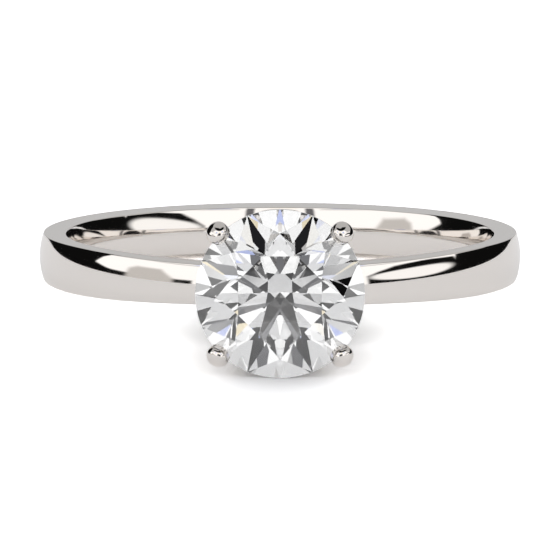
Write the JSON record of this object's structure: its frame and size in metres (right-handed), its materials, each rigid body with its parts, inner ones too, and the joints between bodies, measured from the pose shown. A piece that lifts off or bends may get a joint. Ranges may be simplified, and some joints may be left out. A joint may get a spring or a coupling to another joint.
{
  "type": "engagement ring",
  "caption": "Polished white-metal solitaire ring: a tapered domed band, open under a low claw basket, and a round brilliant stone.",
  "frame": {"origin": "centre of the finger hole, halfway across the band's width", "axes": "+Z along the finger hole; -Y out along the stone's axis, the stone's table facing -Y; +X to the right as seen from in front of the stone"},
  "size_m": [0.0194, 0.0232, 0.0064],
  "materials": {
    "white_gold": "mirror polished white gold",
    "diamond": "clear colourless brilliant-cut stone"
  },
  "bodies": {
    "root": {"shank": "white_gold", "head_collet": "white_gold", "gallery_rail": "white_gold", "claw_1": "white_gold", "claw_2": "white_gold", "claw_3": "white_gold", "claw_4": "white_gold", "centre_stone": "diamond"}
  },
  "joints": []
}
